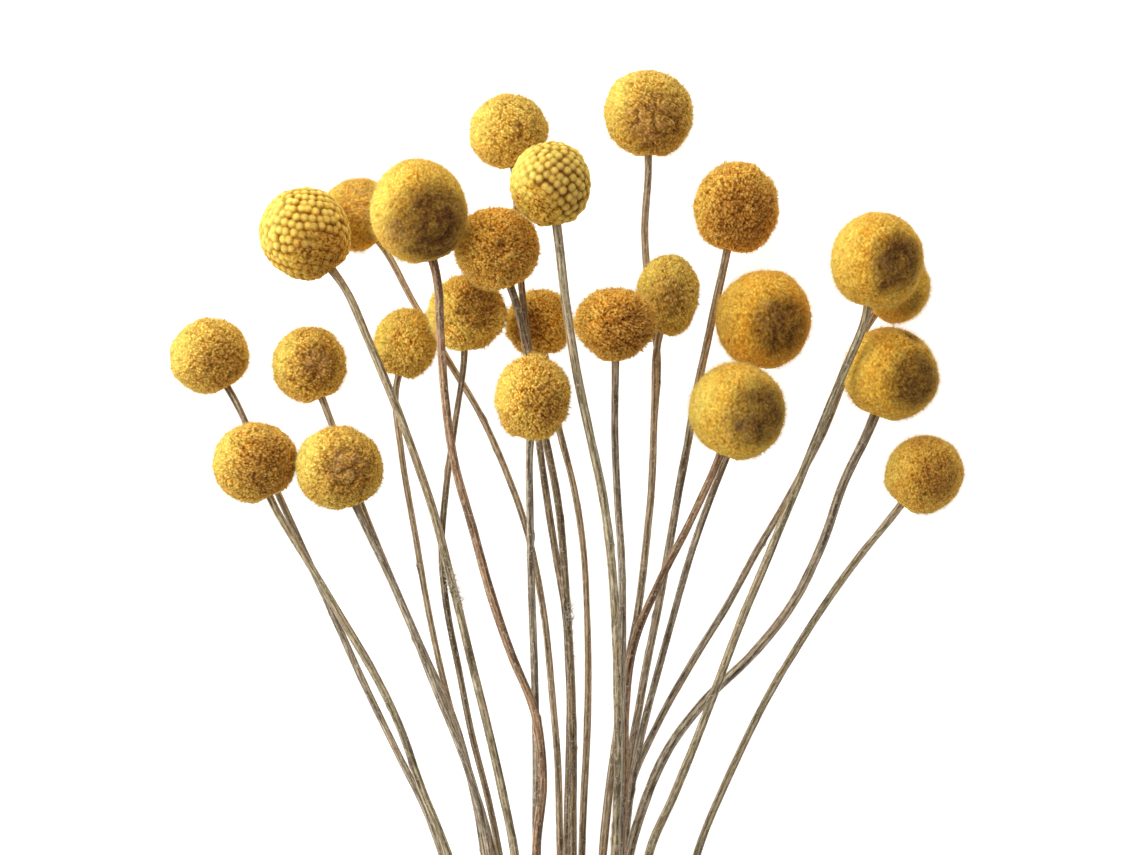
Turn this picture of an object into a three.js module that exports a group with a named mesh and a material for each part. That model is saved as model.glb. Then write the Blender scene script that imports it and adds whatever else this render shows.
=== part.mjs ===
// A loose bunch of dried billy buttons (Craspedia): cut flowers lying on a flat surface.
//
// Millimetres, +Z up. The surface is z = 0, the heads point towards +Y and the cut ends towards -Y.
// A flower is two pieces, a round head and the bare stem whose tip stands in the head's base.
// Nothing ties the flowers: each one lies on the surface and on the flowers laid before it.

import * as THREE from 'three';

// ---------------------------------------------------------------- driving dimensions

const HEAD_SPREAD = 236; // across, between the centres of the two outermost heads
const BUNCH_REACH = 416; // from the line of the cut ends to the centre of the farthest head
const GATHER_WIDTH = 60; // across the stems where they run closest together
const GATHER_REACH = 88; // from the line of the cut ends to that place
const FOOT_WIDTH = 92; // across the cut ends
const BUNCH_CENTRE = 2; // how far the gathered stems stand to the right of the middle line
const CUT_STAGGER = 6; // how far a cut end may stand before or behind their line
const CUT_STRAY = 3; // how far a cut end may stand to the side of its place in the row

const HEAD_DIAMETER = 28; // a head of size 1
const STEM_DIAMETER = 2.8; // a stem of size 1
const SOCKET_DEPTH = 2.5; // how far a stem's tip stands inside its head
const NECK = 2; // straight stem below the head, before the stem may bend
const CLEARANCE = 0.35; // left between pieces that touch

const STIFFNESS = 0.4; // 0 lays a stem down limp over what it crosses, 1 as a straight rod
const BALANCE = 0.25; // where a flower balances, as a share of its length from the head

const RING_STEP = 22; // between the rings of a stem
const STEM_SIDES = 7;
const HEAD_SIDES = 12;
const HEAD_ROWS = 8;
const SAMPLE_STEP = 1; // between the places where a stem is tried against what lies under it

// ---------------------------------------------------------------- the flowers

// One row per flower, in the order in which they are laid. head is the head's centre seen from
// above: across from the middle line, and up from the cut ends. wide, tall and stem are sizes
// relative to HEAD_DIAMETER and STEM_DIAMETER. place counts the stems from left to right where
// they are gathered. route is where the stem runs, from the head down to the gathered part.
const FLOWERS = [
  { id: 13, head: [-10, 347], wide: 0.80, tall: 0.82, stem: 0.85, place: 12,
    route: [[-5, 319], [0, 299], [4, 277], [6, 242], [6, 217], [4, 171]] },
  { id: 6, head: [-70, 383], wide: 0.87, tall: 0.87, stem: 0.85, place: 9,
    route: [[-61, 371], [-46, 344], [-30, 318], [-21, 298], [-12, 270], [-6, 228], [-3, 171]] },
  { id: 8, head: [-54, 340], wide: 0.74, tall: 0.84, stem: 0.80, place: 4,
    route: [[-57, 328], [-56, 307], [-51, 277], [-44, 239], [-36, 208], [-25, 171]] },
  { id: 12, head: [-34, 350], wide: 0.94, tall: 0.92, stem: 0.80, place: 5,
    route: [[-35, 332], [-40, 298], [-42, 268], [-37, 236], [-31, 206], [-23, 171]] },
  { id: 1, head: [-119, 336], wide: 0.93, tall: 0.90, stem: 0.90, place: 0,
    route: [[-112, 324], [-101, 300], [-82, 259], [-64, 219], [-53, 197], [-42, 171]] },
  { id: 2, head: [-86, 333], wide: 0.90, tall: 0.90, stem: 0.90, place: 2,
    route: [[-81, 320], [-68, 285], [-49, 240], [-38, 215], [-28, 171]] },
  { id: 17, head: [26, 416], wide: 1.07, tall: 1.06, stem: 0.90, place: 14,
    route: [[26, 401], [25, 367], [29, 340], [28, 320], [27, 293], [23, 255], [17, 222], [11, 171]] },
  { id: 16, head: [32, 356], wide: 0.76, tall: 0.97, stem: 0.90, place: 13,
    route: [[29, 340], [28, 320], [27, 293], [23, 255], [17, 222], [11, 171]] },
  { id: 22, head: [107, 359], wide: 0.86, tall: 0.86, stem: 0.90, place: 18,
    route: [[98, 345], [83, 309], [65, 277], [48, 247], [34, 224], [20, 193], [17, 171]] },
  { id: 18, head: [55, 385], wide: 1.02, tall: 1.10, stem: 1.00, place: 17,
    route: [[52, 371], [44, 334], [38, 302], [32, 269], [26, 236], [20, 204], [16, 171]] },
  { id: 19, head: [64, 348], wide: 1.12, tall: 1.18, stem: 0.90, place: 20,
    route: [[61, 331], [53, 306], [43, 280], [33, 246], [23, 207], [18, 171]] },
  { id: 9, head: [-20, 410], wide: 0.94, tall: 0.91, stem: 0.90, place: 10,
    route: [[-18, 394], [-17, 371], [-14, 344], [-10, 308], [-6, 278], [-1, 248], [0, 209], [-1, 171]] },
  { id: 24, head: [117, 297], wide: 0.92, tall: 0.96, stem: 0.95, place: 23,
    route: [[108, 285], [95, 269], [77, 243], [65, 222], [51, 194], [42, 171]] },
  { id: 23, head: [106, 330], wide: 1.14, tall: 1.10, stem: 1.20, place: 21,
    route: [[100, 315], [90, 294], [80, 266], [66, 244], [49, 227], [34, 209], [24, 187], [19, 171]] },
  { id: 20, head: [55, 318], wide: 1.16, tall: 1.14, stem: 1.00, place: 19,
    route: [[48, 300], [36, 274], [24, 250], [19, 228], [18, 196], [17, 171]] },
  { id: 21, head: [101, 367], wide: 1.10, tall: 1.16, stem: 1.05, place: 22,
    route: [[97, 348], [86, 321], [73, 289], [59, 255], [48, 226], [37, 197], [26, 171]] },
  { id: 15, head: [15, 346], wide: 1.00, tall: 0.92, stem: 0.95, place: 16,
    route: [[15, 331], [15, 303], [17, 269], [17, 220], [16, 171]] },
  { id: 3, head: [-104, 301], wide: 0.99, tall: 0.96, stem: 1.00, place: 1,
    route: [[-98, 288], [-83, 263], [-69, 239], [-58, 219], [-49, 194], [-40, 171]] },
  { id: 4, head: [-76, 299], wide: 1.03, tall: 1.02, stem: 0.95, place: 3,
    route: [[-70, 286], [-55, 254], [-45, 229], [-35, 204], [-26, 171]] },
  { id: 5, head: [-87, 376], wide: 1.07, tall: 1.13, stem: 1.05, place: 6,
    route: [[-77, 363], [-65, 339], [-51, 303], [-42, 275], [-34, 242], [-26, 209], [-18, 171]] },
  { id: 11, head: [-24, 371], wide: 1.00, tall: 0.99, stem: 1.00, place: 11,
    route: [[-19, 358], [-11, 323], [-4, 288], [-1, 255], [1, 213], [1, 171]] },
  { id: 14, head: [-12, 322], wide: 0.90, tall: 1.00, stem: 0.95, place: 7,
    route: [[-13, 307], [-13, 281], [-12, 247], [-11, 208], [-11, 171]] },
  { id: 7, head: [-49, 383], wide: 1.14, tall: 1.24, stem: 1.10, place: 8,
    route: [[-44, 364], [-42, 336], [-38, 303], [-32, 280], [-22, 246], [-10, 214], [-9, 194], [-11, 171]] },
  { id: 10, head: [-6, 392], wide: 0.97, tall: 1.02, stem: 1.10, place: 15,
    route: [[-4, 377], [0, 344], [6, 313], [12, 283], [15, 250], [16, 213], [15, 171]] },
];

const HEAD_FINISH = { color: 0xc9962c, roughness: 0.9, metalness: 0 };
const STEM_FINISH = { color: 0x8d7d66, roughness: 0.85, metalness: 0 };

// ---------------------------------------------------------------- where a stem runs, seen from above

const headsAcross = FLOWERS.map((flower) => flower.head[0]);
const headsUp = FLOWERS.map((flower) => flower.head[1]);
const acrossScale = HEAD_SPREAD / (Math.max(...headsAcross) - Math.min(...headsAcross));
const upScale = BUNCH_REACH / Math.max(...headsUp);

function onPlan([across, up]) {
  return new THREE.Vector3(across * acrossScale, up * upScale, 0);
}

// Where the stem stands in a row of stems side by side, with the given width and distance up.
function inRow(place, width, up) {
  const across = BUNCH_CENTRE + width * (place / (FLOWERS.length - 1) - 0.5);
  return new THREE.Vector3(across, up, 0);
}

// An uneven share between -1 and 1 that changes from place to place.
function uneven(place, stride, count) {
  return 2 * ((place * stride) % count) / (count - 1) - 1;
}

function planCurve(flower) {
  const cutEnd = inRow(flower.place, FOOT_WIDTH, CUT_STAGGER * uneven(flower.place, 5, 7));
  cutEnd.x += CUT_STRAY * uneven(flower.place, 4, 9);
  const points = [
    onPlan(flower.head),
    ...flower.route.map(onPlan),
    inRow(flower.place, GATHER_WIDTH, GATHER_REACH),
    cutEnd,
  ];
  return new THREE.CatmullRomCurve3(points, false, 'centripetal');
}

// ---------------------------------------------------------------- how high it lies

// Everything laid so far, as round rods: a stem is one rod per stretch, a head one short rod.
const laidRods = [];

// The lowest that the centre of a ball can lie at this place, on the surface and on what is laid.
function restingHeight(place, radius) {
  let height = radius;
  for (const rod of laidRods) {
    const along = new THREE.Vector2(rod.to.x - rod.from.x, rod.to.y - rod.from.y);
    const away = new THREE.Vector2(place.x - rod.from.x, place.y - rod.from.y);
    const length = along.length();
    const share = length > 0 ? THREE.MathUtils.clamp(away.dot(along) / length ** 2, 0, 1) : 0;
    const sideways = away.addScaledVector(along, -share).length();
    const apart = radius + rod.radius + CLEARANCE;
    if (sideways < apart) {
      const rodHeight = THREE.MathUtils.lerp(rod.from.z, rod.to.z, share);
      height = Math.max(height, rodHeight + Math.sqrt(apart ** 2 - sideways ** 2));
    }
  }
  return height;
}

// The corners of the lowest line over all stations that never bends upwards.
function tautLine(stations) {
  const corners = [];
  for (const station of stations) {
    while (corners.length > 1) {
      const [before, last] = corners.slice(-2);
      const turn = (last.s - before.s) * (station.z - before.z) - (last.z - before.z) * (station.s - before.s);
      if (turn < 0) {
        break;
      }
      corners.pop();
    }
    corners.push(station);
  }
  return corners;
}

// The height of the straight stretch through two corners, also past its ends.
function onStretch([from, to], s) {
  return from.z + (to.z - from.z) * (s - from.s) / (to.s - from.s);
}

function stretchAt(corners, s) {
  const last = corners.findIndex((corner, index) => index > 0 && corner.s >= s);
  return corners.slice(last - 1, last + 1);
}

// Lays one flower: gives the head's centre, and the stem's rings from its tip in the head to its
// foot. The tip and the ring at the neck stand on the head's axis.
function layFlower(flower) {
  const headRadius = HEAD_DIAMETER * Math.max(flower.wide, flower.tall) / 2;
  const stemRadius = STEM_DIAMETER * flower.stem / 2;
  const tipAt = HEAD_DIAMETER * flower.tall / 2 - SOCKET_DEPTH;
  const neckAt = HEAD_DIAMETER * flower.tall / 2 + NECK;
  const curve = planCurve(flower);
  const length = curve.getLength();
  const stretchCount = Math.ceil((length - neckAt) / RING_STEP);
  const placeAt = (s) => curve.getPointAt(s / length);

  // The head's centre and every ring below the neck are stations, and what lies under a stretch
  // holds up both its ends.
  const centre = placeAt(0);
  const stations = [{ s: 0, z: restingHeight(centre, headRadius) }];
  for (let ring = 1; ring <= stretchCount; ring += 1) {
    stations.push({ s: THREE.MathUtils.lerp(neckAt, length, ring / stretchCount), z: stemRadius });
  }
  for (let s = tipAt; s < length; s += SAMPLE_STEP) {
    const need = restingHeight(placeAt(s), stemRadius);
    const below = stations.findIndex((station) => station.s > s);
    for (const station of [stations[below - 1], stations[below]]) {
      station.z = Math.max(station.z, need);
    }
  }

  const corners = tautLine(stations);
  const balanced = stretchAt(corners, BALANCE * length);
  const heightAt = (s) => THREE.MathUtils.lerp(onStretch(stretchAt(corners, s), s), onStretch(balanced, s), STIFFNESS);
  const [laidCentre, ...lower] = stations.map(({ s }) => {
    const place = placeAt(s);
    place.z = heightAt(s);
    return place;
  });
  const down = placeAt(neckAt).sub(centre).normalize();
  down.z = (lower[0].z - laidCentre.z) / stations[1].s;
  const rings = [
    laidCentre.clone().addScaledVector(down, tipAt),
    laidCentre.clone().addScaledVector(down, neckAt),
    ...lower,
  ];

  laidRods.push({ from: laidCentre, to: laidCentre, radius: headRadius });
  for (let ring = 1; ring < rings.length; ring += 1) {
    laidRods.push({ from: rings[ring - 1], to: rings[ring], radius: stemRadius });
  }
  return { centre: laidCentre, rings, stemRadius };
}

// ---------------------------------------------------------------- the pieces

// A line from ring to ring, for a section to follow.
class RingLine extends THREE.Curve {
  constructor(rings) {
    super();
    this.rings = rings;
  }

  getPoint(t, target = new THREE.Vector3()) {
    const stretches = this.rings.length - 1;
    const index = Math.min(Math.floor(t * stretches), stretches - 1);
    return target.lerpVectors(this.rings[index], this.rings[index + 1], t * stretches - index);
  }

  getUtoTmapping(u) {
    return u;
  }
}

function regularSection(radius, sides) {
  const points = [];
  for (let side = 0; side < sides; side += 1) {
    const angle = 2 * Math.PI * side / sides;
    points.push(new THREE.Vector2(radius * Math.cos(angle), radius * Math.sin(angle)));
  }
  return new THREE.Shape(points);
}

function stemMesh(flower, { rings, stemRadius }) {
  const geometry = new THREE.ExtrudeGeometry(regularSection(stemRadius, STEM_SIDES), {
    steps: rings.length - 1,
    extrudePath: new RingLine(rings),
  });
  return new THREE.Mesh(geometry, new THREE.MeshStandardMaterial(STEM_FINISH));
}

// A round head with a socket in its base, turned about the axis that its stem runs along.
function headMesh(flower, { centre, rings, stemRadius }) {
  const halfWide = HEAD_DIAMETER * flower.wide / 2;
  const halfTall = HEAD_DIAMETER * flower.tall / 2;
  const socketRadius = (stemRadius + CLEARANCE) / Math.cos(Math.PI / HEAD_SIDES);
  const socketFloor = SOCKET_DEPTH + CLEARANCE - halfTall;
  const rimAngle = Math.asin(socketRadius / halfWide);
  const profile = [new THREE.Vector2(0, socketFloor), new THREE.Vector2(socketRadius, socketFloor)];
  for (let row = 0; row <= HEAD_ROWS; row += 1) {
    const angle = THREE.MathUtils.lerp(rimAngle, Math.PI, row / HEAD_ROWS);
    profile.push(new THREE.Vector2(halfWide * Math.sin(angle), -halfTall * Math.cos(angle)));
  }
  profile[profile.length - 1].x = 0;

  const mesh = new THREE.Mesh(
    new THREE.LatheGeometry(profile, HEAD_SIDES),
    new THREE.MeshStandardMaterial(HEAD_FINISH),
  );
  const axis = centre.clone().sub(rings[0]).normalize();
  mesh.quaternion.setFromUnitVectors(new THREE.Vector3(0, 1, 0), axis);
  mesh.position.copy(centre);
  return mesh;
}

// ---------------------------------------------------------------- the bunch

const bunch = new THREE.Group();
for (const flower of FLOWERS) {
  const laid = layFlower(flower);
  const number = String(flower.id).padStart(2, '0');
  const stem = stemMesh(flower, laid);
  stem.name = `stem_${number}`;
  const head = headMesh(flower, laid);
  head.name = `head_${number}`;
  bunch.add(stem, head);
}

// The origin is on the surface, under the middle of the bunch.
const box = new THREE.Box3().setFromObject(bunch, true);
const middle = box.getCenter(new THREE.Vector3());
bunch.position.set(-middle.x, -middle.y, -box.min.z);

export default bunch;
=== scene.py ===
"""A loose bunch of dried billy buttons: grainy, felted and beaded heads on ribbed, hairy stems.

Every flower is rebuilt around its two CAD nodes: the stem follows the centres of the CAD stem's
rings, and the head fills the CAD head. Lengths are in metres, unless a name ends in _MM or _mm
or a comment says millimetres.
"""

import math

import bpy
import numpy as np
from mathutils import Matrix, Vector, kdtree


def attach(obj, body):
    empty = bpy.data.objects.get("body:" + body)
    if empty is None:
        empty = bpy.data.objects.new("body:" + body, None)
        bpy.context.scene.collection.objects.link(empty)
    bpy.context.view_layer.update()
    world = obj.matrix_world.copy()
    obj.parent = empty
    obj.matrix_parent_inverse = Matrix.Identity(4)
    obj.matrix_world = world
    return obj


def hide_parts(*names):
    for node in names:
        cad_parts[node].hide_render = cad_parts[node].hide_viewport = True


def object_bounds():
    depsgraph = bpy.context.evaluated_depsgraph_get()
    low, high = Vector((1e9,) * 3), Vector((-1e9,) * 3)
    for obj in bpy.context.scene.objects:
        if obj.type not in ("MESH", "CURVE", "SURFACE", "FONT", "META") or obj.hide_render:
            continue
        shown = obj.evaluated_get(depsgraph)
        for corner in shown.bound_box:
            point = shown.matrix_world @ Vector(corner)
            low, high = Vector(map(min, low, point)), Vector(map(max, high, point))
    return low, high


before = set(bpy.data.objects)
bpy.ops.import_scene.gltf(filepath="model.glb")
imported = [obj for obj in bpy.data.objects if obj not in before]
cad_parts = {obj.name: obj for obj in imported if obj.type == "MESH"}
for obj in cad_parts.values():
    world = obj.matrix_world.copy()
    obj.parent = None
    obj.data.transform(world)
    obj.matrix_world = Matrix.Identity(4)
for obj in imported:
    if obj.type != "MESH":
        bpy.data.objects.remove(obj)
cad_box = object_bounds()

MM = 0.001
FLOWER_COUNT = 24
CAD_STEM_SIDES = 7

# ------------------------------------------------------------------ what each flower looks like

# Directions on a head are (right, up) as seen from above, each a share of the head's radius:
# (0, 0) faces up and (1, 0) is the right edge.
#   style    granular, ragged, fine, felted or beaded
#   tone     0 golden, towards 1 more orange, towards -1 paler
#   aged_and_shaded  where it is brown, partly from withered florets and partly from painted shade on
#   the side away from the key lamp: direction, size, strength
#   shape    lumps and dents: direction, size, height in millimetres. Small dents are coloured dark brown
#   wrinkle  depth of the wrinkles in millimetres
#   opened   where the buds of a beaded head have opened: direction, size
#   dusty    where old down lies on it, greyish pink: direction, size, strength
HEADS = {
    1: dict(style="granular", tone=-0.25, aged_and_shaded=(0.40, -0.25, 0.90, 0.65), wrinkle=0.5),
    2: dict(style="granular", tone=-0.2, aged_and_shaded=(0.30, 0.00, 0.75, 0.75), wrinkle=1.3,
            dusty=(0.2, 0.1, 0.5, 0.6)),
    3: dict(style="granular", tone=-0.05, aged_and_shaded=(0.45, -0.15, 0.95, 0.80), wrinkle=0.4,
            shape=[(0.85, 0.25, 0.45, 1.2), (0.45, 0.85, 0.25, -1.2)]),
    4: dict(style="granular", tone=-0.25, aged_and_shaded=(0.30, -0.10, 0.75, 0.75), wrinkle=1.4,
            dusty=(0.2, 0.1, 0.5, 0.7)),
    5: dict(style="beaded", tone=-0.1, aged_and_shaded=(0.45, -0.30, 0.80, 0.75), wrinkle=0.2,
            opened=(0.35, -0.65, 0.75)),
    6: dict(style="felted", tone=0.0, aged_and_shaded=(0.25, -0.50, 0.50, 0.35), wrinkle=0.4,
            dusty=(0.1, 0.6, 0.9, 1.0)),
    7: dict(style="felted", tone=-0.1, aged_and_shaded=(0.34, -0.34, 1.05, 1.0), wrinkle=0.5,
            dusty=(-0.60, -0.50, 0.4, 0.7), shape=[(0.38, -0.05, 0.14, -0.6)]),
    8: dict(style="ragged", tone=-0.25, aged_and_shaded=(0.40, -0.40, 0.45, 0.15), wrinkle=0.3),
    9: dict(style="granular", tone=-0.35, aged_and_shaded=(0.45, -0.20, 0.60, 0.35), wrinkle=0.6,
            shape=[(0.30, 0.15, 0.12, -0.9), (0.30, -0.15, 0.12, -0.9), (0.12, 0.0, 0.14, 0.5)]),
    10: dict(style="beaded", tone=-0.2, aged_and_shaded=(0.40, -0.10, 0.90, 0.65), wrinkle=0.0,
             opened=(-0.5, -0.65, 0.7)),
    11: dict(style="ragged", tone=0.15, aged_and_shaded=(0.40, -0.15, 0.80, 0.55), wrinkle=0.5,
             shape=[(0.16, 0.08, 0.17, -2.4), (0.04, 0.22, 0.10, 0.8), (-0.2, -0.9, 0.35, 0.8)]),
    12: dict(style="ragged", tone=-0.25, aged_and_shaded=(0.35, 0.10, 0.60, 0.75), wrinkle=0.8,
             shape=[(0.90, -0.1, 0.40, 1.0), (0.55, -0.75, 0.35, -1.6), (-0.4, -0.8, 0.4, 0.8)]),
    13: dict(style="ragged", tone=0.05, aged_and_shaded=(-0.35, -0.10, 0.60, 0.85), wrinkle=0.5,
             shape=[(-0.4, 0.2, 0.2, -1.6), (-0.85, 0.1, 0.3, 0.7), (0.4, 0.3, 0.4, 0.6)]),
    14: dict(style="ragged", tone=-0.1, aged_and_shaded=(0.45, -0.15, 0.65, 0.65), wrinkle=0.6,
             shape=[(-0.3, 0.85, 0.4, 0.8), (-0.9, -0.5, 0.3, -0.8), (0.2, -0.95, 0.25, 0.6)]),
    15: dict(style="ragged", tone=0.35, aged_and_shaded=(0.40, -0.20, 0.95, 0.80), wrinkle=0.5,
             shape=[(-0.75, -0.75, 0.5, -2.6), (0.8, -0.75, 0.5, -2.2), (0.0, 0.95, 0.6, -0.5)]),
    16: dict(style="granular", tone=-0.4, aged_and_shaded=(0.30, -0.10, 0.60, 0.60), wrinkle=1.1,
             dusty=(0.0, 0.3, 0.6, 0.4), shape=[(0.45, -0.9, 0.35, 0.9), (-0.6, -0.75, 0.4, -1.0)]),
    17: dict(style="granular", tone=-0.25, aged_and_shaded=(0.25, -0.25, 0.85, 0.75), wrinkle=1.5,
             dusty=(0.0, -0.2, 0.6, 0.5)),
    18: dict(style="ragged", tone=0.2, aged_and_shaded=(0.30, -0.20, 0.95, 0.85), wrinkle=0.6,
             shape=[(0.05, -0.05, 0.15, -1.6)]),
    19: dict(style="felted", tone=0.15, aged_and_shaded=(0.42, -0.18, 0.75, 0.90), wrinkle=0.9,
             dusty=(0.1, 0.1, 0.35, 0.35), shape=[(0.45, 0.05, 0.22, -1.0), (0.10, -0.2, 0.25, 0.5)]),
    20: dict(style="felted", tone=-0.2, aged_and_shaded=(0.56, -0.08, 0.80, 0.93), wrinkle=0.3,
             dusty=(0.0, -0.4, 0.45, 0.5), shape=[(0.05, -0.35, 0.2, -0.4)]),
    21: dict(style="felted", tone=0.0, aged_and_shaded=(0.52, -0.02, 0.72, 1.0), wrinkle=0.5,
             dusty=(0.1, -0.2, 0.35, 0.3), shape=[(0.42, 0.08, 0.2, -1.3), (0.15, -0.55, 0.2, -0.5)]),
    22: dict(style="felted", tone=-0.1, aged_and_shaded=(0.50, -0.50, 0.50, 0.45), wrinkle=0.5),
    23: dict(style="felted", tone=0.0, aged_and_shaded=(0.56, -0.15, 0.75, 0.90), wrinkle=0.4,
             shape=[(0.45, 0.85, 0.2, -1.5), (0.95, -0.3, 0.4, 0.6)]),
    24: dict(style="fine", tone=0.0, aged_and_shaded=(0.40, -0.15, 0.70, 0.80), wrinkle=0.4),
}

# The grain of each style, in millimetres: buds are bunches of florets, and a floret is one grain.
# tips, tufts and fuzz are how many single tips, tufts of tips and threads of down stand out.
STYLES = {
    "granular": dict(finish="granular", bud_gap=2.7, bud_height=0.38, grain_gap=0.95, grain_height=0.50,
                     lump=0.32, contrast=1.0, tips=1900, tip_length=0.70, fuzz=5200, fuzz_length=1.9,
                     tufts=80),
    "ragged": dict(finish="granular", bud_gap=2.3, bud_height=0.50, grain_gap=0.95, grain_height=0.60,
                   lump=0.40, contrast=1.0, tips=2400, tip_length=0.95, fuzz=5200, fuzz_length=2.0,
                   tufts=200),
    "felted": dict(finish="felted", bud_gap=2.0, bud_height=0.18, grain_gap=1.0, grain_height=0.45,
                   lump=0.18, contrast=0.70, tips=2200, tip_length=0.45, fuzz=7500, fuzz_length=2.1,
                   tufts=10),
    "fine": dict(finish="granular", bud_gap=2.2, bud_height=0.25, grain_gap=0.85, grain_height=0.40,
                 lump=0.20, contrast=0.75, tips=2000, tip_length=0.50, fuzz=5200, fuzz_length=1.8,
                 tufts=20),
    "beaded": dict(finish="beaded", bud_gap=3.05, bud_height=1.25, grain_gap=0.9, grain_height=0.10,
                   lump=0.10, contrast=1.0, tips=90, tip_length=0.5, fuzz=1200, fuzz_length=0.7,
                   tufts=6),
}

# Tones of the stems: light side, dark side. Every stem takes one.
STEM_TONES = {
    "olive": ((228, 212, 174), (126, 110, 76)),
    "taupe": ((228, 212, 184), (126, 108, 86)),
    "tan": ((238, 214, 178), (152, 126, 94)),
    "reddish": ((220, 180, 140), (128, 84, 60)),
    "dark": ((190, 168, 134), (90, 72, 52)),
}
STEMS = {
    1: "taupe", 2: "taupe", 3: "olive", 4: "taupe", 5: "olive", 6: "tan", 7: "reddish", 8: "tan",
    9: "dark", 10: "olive", 11: "dark", 12: "dark", 13: "tan", 14: "taupe", 15: "taupe",
    16: "tan", 17: "taupe", 18: "taupe", 19: "taupe", 20: "reddish", 21: "olive",
    22: "taupe", 23: "taupe", 24: "olive",
}
# Stems with a woolly tuft: how far from the head, as a share of the stem.
TUFTS = {5: 0.30, 9: 0.40, 11: 0.31, 12: 0.22, 7: 0.62}


# ------------------------------------------------------------------ small helpers

def srgb(red, green, blue):
    """A linear colour from 8-bit sRGB values."""
    def linear(value):
        share = value / 255
        return share / 12.92 if share <= 0.04045 else ((share + 0.055) / 1.055) ** 2.4
    return (linear(red), linear(green), linear(blue), 1.0)


def unit(vectors):
    return vectors / np.linalg.norm(vectors, axis=-1, keepdims=True)


def waves(points, length, rng, count=14):
    """Smooth noise between about -1 and 1, with features of about the given length."""
    total = np.zeros(len(points))
    for _ in range(count):
        pitch = 2 * math.pi / (length * rng.uniform(0.7, 1.6))
        total += np.sin(points @ (unit(rng.normal(size=3)) * pitch) + rng.uniform(0, 2 * math.pi))
    return total / math.sqrt(count / 2) / 2


def nearest(centres, points):
    """The index of the centre nearest to each point, and its distance."""
    tree = kdtree.KDTree(len(centres))
    for index, centre in enumerate(centres):
        tree.insert(centre, index)
    tree.balance()
    found = [tree.find(point)[1:] for point in points]
    return np.array([index for index, _ in found]), np.array([away for _, away in found])


def smoothstep(low, high, values):
    share = np.clip((values - low) / (high - low), 0, 1)
    return share * share * (3 - 2 * share)


def node_vertices(name):
    """The corners of a CAD node, each once."""
    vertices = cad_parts[name].data.vertices
    flat = np.empty(3 * len(vertices))
    vertices.foreach_get("co", flat)
    return np.unique(np.round(flat.reshape(-1, 3), 7), axis=0)


def stem_rings(name):
    """The centres of a CAD stem's rings, from the cut end to the tip in the head, and its radius."""
    left = node_vertices(name)
    last = left[np.argmin(left[:, 1])]
    centres = []
    while len(left) >= CAD_STEM_SIDES:
        order = np.argsort(np.linalg.norm(left - last, axis=1))
        ring = left[order[:CAD_STEM_SIDES]]
        left = left[order[CAD_STEM_SIDES:]]
        last = ring.mean(axis=0)
        centres.append(last)
        radius = np.linalg.norm(ring - last, axis=1).max()
    return np.array(centres), radius


class Parts:
    """Gathers the corners, faces, marks and map of one piece."""

    def __init__(self):
        self.corners = []
        self.marks = []
        self.grain = []
        self.faces = []
        self.map = []
        self.count = 0

    def add(self, corners, marks, faces, face_map, grain=None, shared=False):
        """face_map holds one (u, v) for each corner of each face. Faces count from the first of
        the new corners, or from the piece's first corner where they share corners."""
        self.corners.append(corners)
        self.marks.append(marks)
        self.grain.append(np.zeros((len(corners), 3)) if grain is None else grain)
        self.add_faces(faces if shared else faces + self.count, face_map)
        self.count += len(corners)

    def add_faces(self, faces, face_map):
        self.faces.append(faces)
        self.map.append(face_map)

    def build(self, name, material):
        mesh = bpy.data.meshes.new(name)
        corners = np.concatenate(self.corners)
        loops = np.concatenate([faces.ravel() for faces in self.faces])
        sizes = np.concatenate([np.full(len(faces), faces.shape[1]) for faces in self.faces])
        mesh.vertices.add(len(corners))
        mesh.vertices.foreach_set("co", corners.ravel())
        mesh.loops.add(len(loops))
        mesh.loops.foreach_set("vertex_index", loops.astype(np.int32))
        mesh.polygons.add(len(sizes))
        starts = np.concatenate([[0], np.cumsum(sizes)[:-1]])
        mesh.polygons.foreach_set("loop_start", starts.astype(np.int32))
        mesh.polygons.foreach_set("use_smooth", np.ones(len(sizes), dtype=bool))
        layer = mesh.uv_layers.new(name="OFBake")
        face_map = np.concatenate([piece.reshape(-1, 2) for piece in self.map])
        layer.data.foreach_set("uv", face_map.ravel())
        marks = mesh.attributes.new("marks", "FLOAT_COLOR", "POINT")
        marks.data.foreach_set("color", np.concatenate(self.marks).ravel())
        grain = mesh.attributes.new("grain", "FLOAT_VECTOR", "POINT")
        grain.data.foreach_set("vector", np.concatenate(self.grain).ravel())
        mesh.update(calc_edges=True)
        mesh.materials.append(material)
        piece = bpy.data.objects.new(name, mesh)
        bpy.context.scene.collection.objects.link(piece)
        return piece


# ------------------------------------------------------------------ materials

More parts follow.
